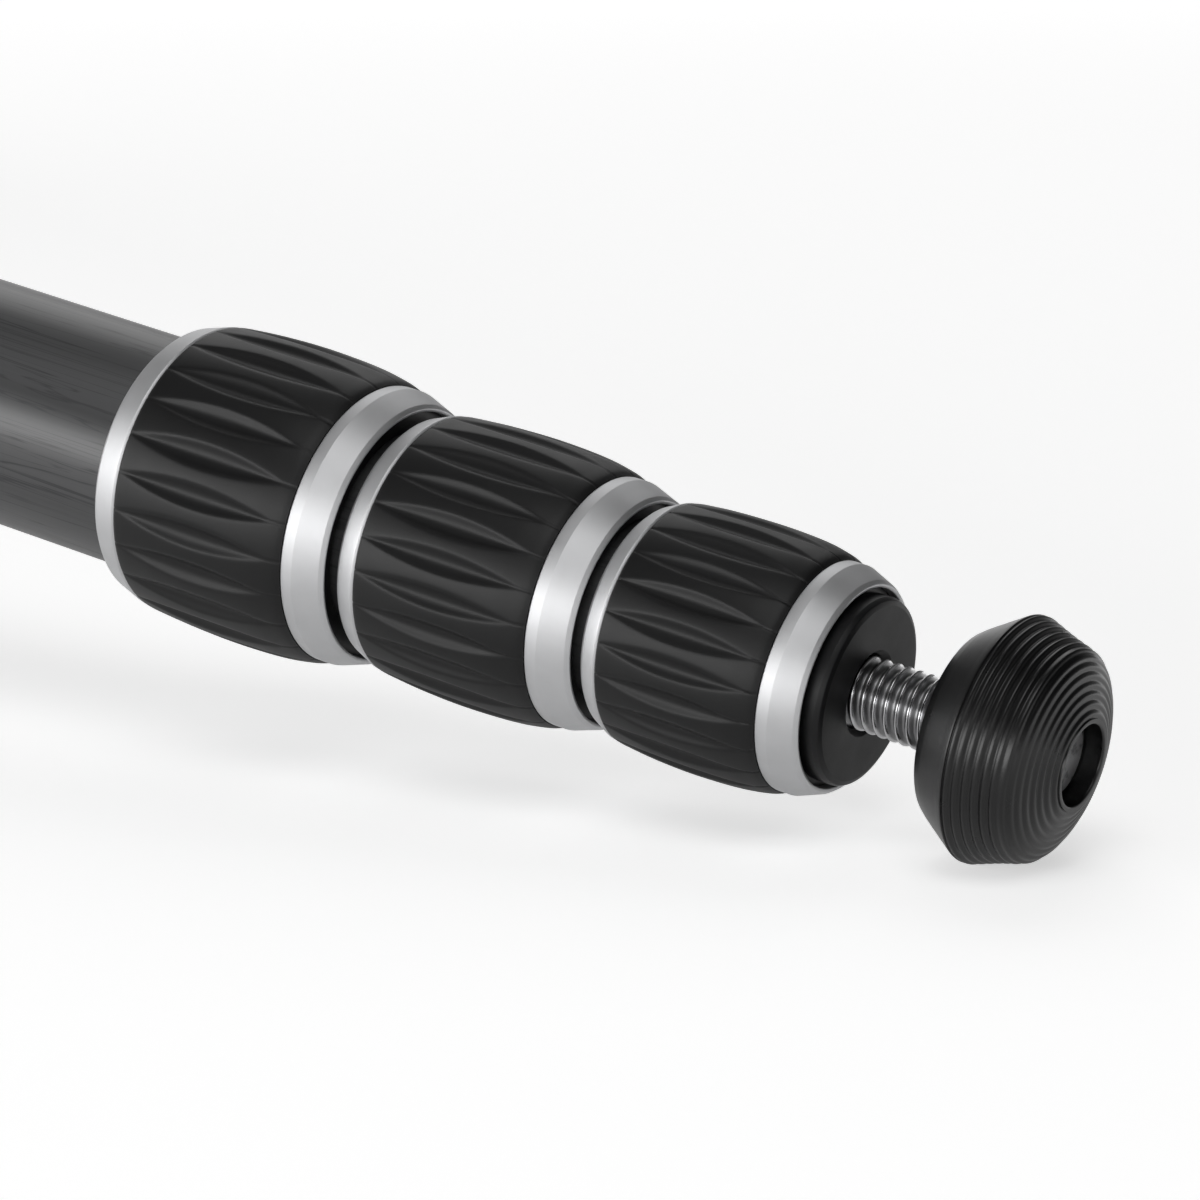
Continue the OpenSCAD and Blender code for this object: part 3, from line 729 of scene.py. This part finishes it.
class TripodStage(bpy.types.PropertyGroup):
    """Camera, light and floor."""

    azimuth: number_property("Azimuth", "Camera's turn round the object, in degrees", 32.06)
    elevation: number_property("Elevation", "Camera's height angle, in degrees", 12.27)
    lens: number_property("Lens", "Focal length in millimetres on a 36 mm frame", 142.88)
    distance: length_property("Distance", "From the camera to the first lock, along the view", 640.26 * MM)
    aim_right: length_property("Aim right", "How far right of the first lock the view points", 56.47 * MM)
    aim_down: length_property("Aim down", "How far below the first lock the view points", 18.62 * MM)
    floor: colour_property("Floor", "Plain pale floor", (0.86, 0.86, 0.86))
    floor_glow: number_property("Floor glow", "Light that the camera sees on the floor", 0.55, min=0, max=1)
    horizon: number_property("Horizon", "Brightness of the studio's white walls", 0.95, min=0)
    zenith: number_property("Zenith", "Brightness of the studio's ceiling", 0.14, min=0)
    dark_azimuth: number_property("Unlit azimuth", "Where the studio's unlit side lies, in degrees", 32.0)
    dark_side: number_property("Unlit side", "Brightness of the unlit side, as a share", 0.2, min=0, max=1)
    key: number_property("Key", "Brightness of the soft light left of the camera", 2.7, min=0)
    rear: number_property("Rear", "Brightness of the soft light behind", 0.95, min=0)
    fill: number_property("Fill", "Brightness of the soft light right of the camera", 1.6, min=0)


FINISHES = {
    "carbon_tube": carbon_finish,
    "anodised_aluminium": anodised_finish,
    "grip_rubber": grip_rubber_finish,
    "foot_rubber": foot_rubber_finish,
    "black_anodised": black_anodised_finish,
    "black_plastic": black_plastic_finish,
    "cast_metal": cast_finish,
    "polished_steel": steel_finish,
    "thread": thread_finish,
    "sawn_end": sawn_end_finish,
    "level_vial": level_finish,
}


def finish(name):
    """The finish of that name, made at its first use."""
    return bpy.data.materials.get(f"{name}_finish") or FINISHES[name](bpy.context.scene.tripod_finishes)


# Each soft light: its place from the first lock, and its width and height, in metres
LIGHTS = {
    "key": ((-0.95, -1.88, 0.34), (5.6, 0.72)),
    "rear": ((-0.8, 1.5, 1.6), (1.6, 1.6)),
    "fill": ((0.6, -0.97, 2.0), (1.4, 1.4)),
}
WATTS_PER_SQUARE_METRE = 4
FLOOR_REACH = 12.0


def fade(tree, value, near, far, low, high):
    """A smooth run from low at near to high at far."""
    inputs = {"Value": value, "From Min": near, "From Max": far, "To Min": low, "To Max": high}
    return add_node(tree, "ShaderNodeMapRange", inputs, interpolation_type="SMOOTHSTEP").outputs["Result"]


def seen_directly(tree, in_metal):
    """1 for what the camera sees, also through glass, in_metal for what metal shows, 0 for other light."""
    rays = add_node(tree, "ShaderNodeLightPath").outputs
    shown = combined(tree, "MULTIPLY", rays["Is Glossy Ray"], in_metal)
    seen = combined(tree, "MAXIMUM", rays["Is Camera Ray"], shown)
    return combined(tree, "MAXIMUM", seen, rays["Is Transmission Ray"])


class TRIPOD_OT_stage(bpy.types.Operator):
    """Make the camera, the floor, the world and the soft lights."""

    bl_idname = "tripod.stage"
    bl_label = "Stage"

    def execute(self, context):
        stage = context.scene.tripod_stage
        a, e = math.radians(stage.azimuth), math.radians(stage.elevation)
        back = Vector((math.sin(a) * math.cos(e), -math.cos(a) * math.cos(e), math.sin(e)))
        right = Vector((math.cos(a), math.sin(a), 0))
        up = back.cross(right)
        lock_start = min(z for _, z in turned_outlines("leg_1_nut_1", leg_frame(1))[0])
        first_lock = leg_frame(1) @ Vector((0, 0, lock_start))
        camera = bpy.data.objects.new("camera", bpy.data.cameras.new("camera"))
        context.scene.collection.objects.link(camera)
        camera.data.lens = stage.lens
        camera.data.sensor_width = 36
        camera.data.clip_start = 0.01
        camera.data.clip_end = 60
        placed = Matrix((right, up, back)).transposed().to_4x4()
        aim = first_lock + right * stage.aim_right - up * stage.aim_down
        placed.translation = aim + back * stage.distance
        camera.matrix_world = placed
        context.scene.camera = camera
        context.scene.view_settings.view_transform = "Standard"

        low = CAD_BOUNDS[0].z
        mesh = bpy.data.meshes.new("floor")
        corners = [(x * FLOOR_REACH, y * FLOOR_REACH, low) for x, y in ((-1, -1), (1, -1), (1, 1), (-1, 1))]
        mesh.from_pydata(corners, [], [(0, 1, 2, 3)])
        floor = bpy.data.objects.new("floor", mesh)
        context.scene.collection.objects.link(floor)
        mesh.materials.append(self.floor_material(stage, (first_lock.x, first_lock.y, low)))

        world = bpy.data.worlds.new("studio")
        world.use_nodes = True
        context.scene.world = world
        self.world_nodes(world.node_tree, stage)

        for name, (place, size) in LIGHTS.items():
            self.light(name, Vector(place), getattr(stage, name), size, first_lock)
        return {"FINISHED"}

    def light(self, name, place, brightness, size, target):
        """A soft rectangular light that faces the target from the place given beside it."""
        data = bpy.data.lights.new(name, "AREA")
        data.energy = brightness * WATTS_PER_SQUARE_METRE * size[0] * size[1]
        data.shape = "RECTANGLE"
        data.size, data.size_y = size
        lamp = bpy.data.objects.new(name, data)
        bpy.context.scene.collection.objects.link(lamp)
        lamp.location = target + place
        lamp.rotation_euler = (-place).to_track_quat("-Z", "Y").to_euler()

    def floor_material(self, stage, middle):
        """Pale floor that keeps the shadow, and glows for camera and metal, weaker near the middle as painted
        shade round the object; in metal its glow is a painted shadow near the middle and a painted reflection
        brighter than the floor far off.
        """
        material = bpy.data.materials.new("floor")
        material.use_nodes = True
        tree = material.node_tree
        tree.nodes.clear()
        place = add_node(tree, "ShaderNodeTexCoord").outputs["Object"]
        away = measured(tree, "DISTANCE", place, middle)
        # Painted shadow and reflection: metal sees the floor's glow at 0.4 of it near the middle and at 1.7 of
        # it far off, and the camera sees a weaker glow near the middle, a painted shade round the object
        metal_near, metal_far, metal_low, metal_high = 0.1, 0.45, 0.4, 1.7
        view_near, view_far, view_high = 0.7, 3.0, 0.97
        in_metal = fade(tree, away, metal_near, metal_far, metal_low, metal_high)
        in_view = fade(tree, away, view_near, view_far, stage.floor_glow, view_high)
        strength = combined(tree, "MULTIPLY", seen_directly(tree, in_metal), in_view)
        glow = add_node(tree, "ShaderNodeEmission", {"Strength": strength})
        matt = add_node(tree, "ShaderNodeBsdfDiffuse", {"Color": colour4(stage.floor)})
        both = add_node(tree, "ShaderNodeAddShader", {0: matt.outputs[0], 1: glow.outputs[0]})
        add_node(tree, "ShaderNodeOutputMaterial", {"Surface": both.outputs[0]})
        return material

    def world_nodes(self, tree, stage):
        """White walls that grow dim towards the ceiling and towards the studio's unlit side."""
        background = tree.nodes["Background"]
        background.inputs["Color"].default_value = (1, 1, 1, 1)
        direction = add_node(tree, "ShaderNodeTexCoord").outputs["Generated"]
        turn = math.radians(stage.dark_azimuth)
        height = measured(tree, "DOT_PRODUCT", direction, (0, 0, 1))
        aside = measured(tree, "DOT_PRODUCT", direction, (math.cos(turn), math.sin(turn), 0))
        wall_top, ceiling, lit_edge, unlit_edge = 0.16, 0.42, -0.1, 0.38
        upright = fade(tree, height, wall_top, ceiling, stage.horizon, stage.zenith)
        sideways = fade(tree, aside, lit_edge, unlit_edge, 1.0, stage.dark_side)
        wall = combined(tree, "MULTIPLY", upright, sideways)
        total = combined(tree, "MAXIMUM", wall, seen_directly(tree, 0))
        tree.links.new(total, background.inputs["Strength"])


class TRIPOD_OT_leg_tubes(bpy.types.Operator):
    """Make the carbon tubes, with their shims, ferrules and collets."""

    bl_idname = "tripod.leg_tubes"
    bl_label = "Leg tubes"

    def execute(self, context):
        shapes = context.scene.tripod_shapes
        for leg in LEGS:
            place = leg_frame(leg)
            for section in SECTIONS:
                node = f"leg_{leg}_tube_{section}"
                body = f"leg_{leg}" if section == 1 else f"leg_{leg}_section_{section}"
                outlines = turned_outlines(node, place)
                tube = max(outlines, key=lambda line: max(z for _, z in line) - min(z for _, z in line))
                outline = rounded(tube, shapes.edge_round, HIDDEN_STEPS, True)
                mesh = turned_mesh(f"{node}_carbon", [outline], shapes.segments)
                new_piece(f"{node}_carbon", mesh, place, body, "carbon_tube", [node])
                mesh = self.fittings_mesh(node, place, tube)
                new_piece(f"{node}_fittings", mesh, place, body, "black_plastic")
        return {"FINISHED"}

    def fittings_mesh(self, node, place, tube):
        """The node's shim, ferrule and collet, without the tube they sit on."""
        bm = bmesh.new()
        bm.from_mesh(frame["nodes"][node].data)
        bm.transform(place.inverted())
        on_tube = [
            v for v in bm.verts
            if any(math.hypot(math.hypot(v.co.x, v.co.y) - r, v.co.z - z) < SAME for r, z in tube)
        ]
        bmesh.ops.delete(bm, geom=on_tube, context="VERTS")
        mesh = bpy.data.meshes.new(f"{node}_fittings")
        bm.to_mesh(mesh)
        bm.free()
        shade(mesh)
        return mesh


class TRIPOD_OT_lock_bodies(bpy.types.Operator):
    """Make the turned aluminium bodies of the twist locks."""

    bl_idname = "tripod.lock_bodies"
    bl_label = "Lock bodies"

    def execute(self, context):
        shapes = context.scene.tripod_shapes
        for leg in LEGS:
            for lock in LOCKS:
                node = f"leg_{leg}_nut_{lock}"
                body = f"leg_{leg}_lock_{lock}"
                turned_piece(f"{node}_turned", node, leg_frame(leg), body, "anodised_aluminium", shapes)
        return {"FINISHED"}


class TRIPOD_OT_grips(bpy.types.Operator):
    """Make the fluted rubber grips and the dust seals."""

    bl_idname = "tripod.grips"
    bl_label = "Grips"

    def execute(self, context):
        shapes = context.scene.tripod_shapes
        phases = (shapes.phase_1, shapes.phase_2, shapes.phase_3)
        for leg in LEGS:
            place = leg_frame(leg)
            for lock, phase in zip(LOCKS, phases):
                node = f"leg_{leg}_grip_{lock}"
                body = f"leg_{leg}_lock_{lock}"
                seats, seal = grip_seats(leg, lock, place)
                mesh = grip_mesh(f"{node}_fluted", seats, math.radians(phase), shapes)
                new_piece(f"{node}_fluted", mesh, place, body, "grip_rubber", [node])
                inner, outer = seal[0][0], seal[-1][0]
                back, front = min(z for _, z in seal), max(z for _, z in seal)
                outline = [(inner, back), (outer, back), (outer, front), (inner, front)]
                outline = rounded(outline, shapes.seal_round, HIDDEN_STEPS, True)
                mesh = turned_mesh(f"{node}_seal", [outline], shapes.segments)
                new_piece(f"{node}_seal", mesh, place, body, "black_plastic")
        return {"FINISHED"}


class TRIPOD_OT_end_plugs(bpy.types.Operator):
    """Make the end plugs."""

    bl_idname = "tripod.end_plugs"
    bl_label = "End plugs"

    def execute(self, context):
        shapes = context.scene.tripod_shapes
        for leg in LEGS:
            node = f"leg_{leg}_end_plug"
            body = f"leg_{leg}_section_4"
            turned_piece(f"{node}_turned", node, leg_frame(leg), body, "black_anodised", shapes)
        return {"FINISHED"}


class TRIPOD_OT_foot_studs(bpy.types.Operator):
    """Cut the threads of the foot studs."""

    bl_idname = "tripod.foot_studs"
    bl_label = "Foot studs"

    def execute(self, context):
        shapes = context.scene.tripod_shapes
        for leg in LEGS:
            node = f"leg_{leg}_foot_stud"
            outline = turned_outlines(node, leg_frame(leg))[0]
            mesh = thread_mesh(f"{node}_threaded", outline, shapes, FOOT_STUD_CHAMFERS, FOOT_STUD_PLAIN)
            new_piece(f"{node}_threaded", mesh, leg_frame(leg), f"leg_{leg}_stud", "polished_steel", [node],
                      ("thread", "sawn_end"))
        return {"FINISHED"}


class TRIPOD_OT_feet(bpy.types.Operator):
    """Mould the ridged rubber feet."""

    bl_idname = "tripod.feet"
    bl_label = "Feet"

    def execute(self, context):
        shapes = context.scene.tripod_shapes
        for leg in LEGS:
            node = f"leg_{leg}_foot"
            outline = turned_outlines(node, leg_frame(leg))[0]
            mesh = turned_mesh(f"{node}_ridged", [self.ridged(outline, shapes)], shapes.segments)
            new_piece(f"{node}_ridged", mesh, leg_frame(leg), f"leg_{leg}_foot_body", "foot_rubber", [node])
        return {"FINISHED"}

    def ridged(self, outline, shapes):
        """The foot's outline with rounded corners, and ridges from its parting line to the hole in front."""
        front_z = max(z for _, z in outline)
        hole_r = min(r for r, z in outline if abs(z - front_z) < ON_LEVEL)
        floor_z = min(z for r, z in outline if abs(r - hole_r) < ON_LEVEL)
        outline = [(r, z - FOOT_HOLE_DEEPER if abs(z - floor_z) < ON_LEVEL else z) for r, z in outline]
        parting_r, parting_z, shifted = self.shifted(outline, hole_r, shapes.foot_shift)
        dense = self.dense(rounded(shifted, FOOT_ROUND, FOOT_ROUND_STEPS, True))
        off = [abs(r - parting_r) + abs(z - parting_z) for r, z in dense]
        start = off.index(min(off))
        dense = dense[start:] + dense[:start]
        few = 5
        if dense[few][1] <= dense[0][1]:
            dense = [dense[0]] + dense[:0:-1]
        run = [0.0]
        for here, following in zip(dense, dense[1:]):
            if abs(here[1] - front_z) < ON_LEVEL and here[0] < hole_r + FOOT_RIM:
                break
            run.append(run[-1] + math.dist(here, following))
        out = []
        for i, along in enumerate(run):
            before, after = dense[i - 1], dense[i + 1]
            normal = Vector((after[1] - before[1], before[0] - after[0])).normalized()
            drop = self.ridge_drop(along, along / run[-1], shapes)
            out.append((dense[i][0] + normal.x * drop, dense[i][1] + normal.y * drop))
        return out + dense[len(run):]

    def shifted(self, outline, hole_r, shift):
        """The parting line's radius and station, and the outline with its widest ring brought to it."""
        rear_z = min(z for _, z in outline)
        widest_r, widest_z = max(outline, key=lambda corner: corner[0])
        out = []
        for r, z in outline:
            if r > hole_r + FOOT_RIM / 2:
                rise = smooth_step(rear_z, widest_z, z)
                fall = 1 - smooth_step(widest_z, widest_z + FOOT_SHIFT_RUN, z)
                z += shift * rise * fall
            out.append((r, z))
        return widest_r, widest_z + shift, out

    def dense(self, outline):
        """The closed outline with points no further apart than about the fine step."""
        out = []
        for (r0, z0), (r1, z1) in zip(outline, outline[1:] + outline[:1]):
            steps = max(1, int(math.hypot(r1 - r0, z1 - z0) / FOOT_FINE_STEP))
            out += [(r0 + (r1 - r0) * s / steps, z0 + (z1 - z0) * s / steps) for s in range(steps)]
        return out

    def ridge_drop(self, along, share, shapes):
        """How far the surface lies under the ridges' crests, at a length and a share of the ridges' run."""
        wave = share * shapes.foot_ridges % 1
        lift = (0.5 - 0.5 * math.cos(math.tau * wave)) ** RIDGE_SHARPNESS
        ridge_wear_and_painted_root_shade = 1 + sum(gain * smooth_step(start, end, share) for start, end, gain in FOOT_WEAR)
        groove = shapes.parting_depth * max(0.0, 1 - abs(along - PARTING_HALF) / PARTING_HALF)
        return shapes.ridge_height * (lift - 1) * ridge_wear_and_painted_root_shade * smooth_step(0, RIDGE_START, along) - groove


class TRIPOD_OT_knuckles(bpy.types.Operator):
    """Make the leg knuckles and their angle tabs."""

    bl_idname = "tripod.knuckles"
    bl_label = "Knuckles"

    def execute(self, context):
        shapes = context.scene.tripod_shapes
        for leg in LEGS:
            knuckle = f"leg_{leg}_knuckle"
            softened_copy(f"{knuckle}_cast", knuckle, f"leg_{leg}", "cast_metal", shapes.cast_round)
            tab = f"leg_{leg}_angle_tab"
            softened_copy(f"{tab}_moulded", tab, f"leg_{leg}_tab", "black_anodised", shapes.tab_round)
        return {"FINISHED"}


class TRIPOD_OT_apex(bpy.types.Operator):
    """Make the apex casting, its bolts and the spirit level."""

    bl_idname = "tripod.apex"
    bl_label = "Apex"

    def execute(self, context):
        shapes = context.scene.tripod_shapes
        softened_copy("apex_casting_cast", "apex_casting", "apex", "cast_metal", shapes.cast_round)
        for node, ending, slot_name, width in APEX_COPIES:
            softened_copy(f"{node}_{ending}", node, "apex", slot_name, width)
        frame["nodes"]["column_collet"].data.materials[0] = finish("black_plastic")
        return {"FINISHED"}


class TRIPOD_OT_column(bpy.types.Operator):
    """Make the column with its collar, head plate, stud and eye."""

    bl_idname = "tripod.column"
    bl_label = "Column and head plate"

    def execute(self, context):
        shapes = context.scene.tripod_shapes
        place = APEX_FRAME
        turned_piece("column_tube_carbon", "column_tube", place, "column", "carbon_tube", shapes)
        turned_piece("column_nut_turned", "column_nut", place, "column_lock", "anodised_aluminium", shapes)
        for node, ending, body, slot_name, width in COLUMN_COPIES:
            softened_copy(f"{node}_{ending}", node, body, slot_name, width)
        outline = turned_outlines("head_stud", place)[0]
        mesh = thread_mesh("head_stud_threaded", outline, shapes, HEAD_STUD_CHAMFERS, HEAD_STUD_PLAIN)
        new_piece("head_stud_threaded", mesh, place, "column", "polished_steel", ["head_stud"],
                  ("thread", "polished_steel"))
        turned_piece("hook_cap_turned", "hook_cap", place, "column", "black_anodised", shapes)
        frame["nodes"]["hook"].data.materials[0] = finish("polished_steel")
        return {"FINISHED"}


class TRIPOD_PT_panel(bpy.types.Panel):
    """The tripod's settings and its makers, in the 3D view's sidebar."""

    bl_label = "Travel tripod"
    bl_space_type = "VIEW_3D"
    bl_region_type = "UI"
    bl_category = "Tripod"

    def draw(self, context):
        for group in ("tripod_shapes", "tripod_finishes", "tripod_stage"):
            settings = getattr(context.scene, group)
            box = self.layout.box()
            for key in settings.__annotations__:
                box.prop(settings, key)
        for operator in OPERATORS:
            self.layout.operator(operator.bl_idname)


OPERATORS = (
    TRIPOD_OT_stage,
    TRIPOD_OT_leg_tubes,
    TRIPOD_OT_lock_bodies,
    TRIPOD_OT_grips,
    TRIPOD_OT_end_plugs,
    TRIPOD_OT_foot_studs,
    TRIPOD_OT_feet,
    TRIPOD_OT_knuckles,
    TRIPOD_OT_apex,
    TRIPOD_OT_column,
)
GROUPS = {"tripod_shapes": TripodShapes, "tripod_finishes": TripodFinishes, "tripod_stage": TripodStage}


def register():
    for cls in (*GROUPS.values(), *OPERATORS, TRIPOD_PT_panel):
        bpy.utils.register_class(cls)
    for name, group in GROUPS.items():
        setattr(bpy.types.Scene, name, bpy.props.PointerProperty(type=group))


def unregister():
    for name in GROUPS:
        delattr(bpy.types.Scene, name)
    for cls in reversed((*GROUPS.values(), *OPERATORS, TRIPOD_PT_panel)):
        bpy.utils.unregister_class(cls)


def main():
    register()
    for operator in OPERATORS:
        group, name = operator.bl_idname.split(".")
        getattr(getattr(bpy.ops, group), name)()


if __name__ == "__main__":
    main()
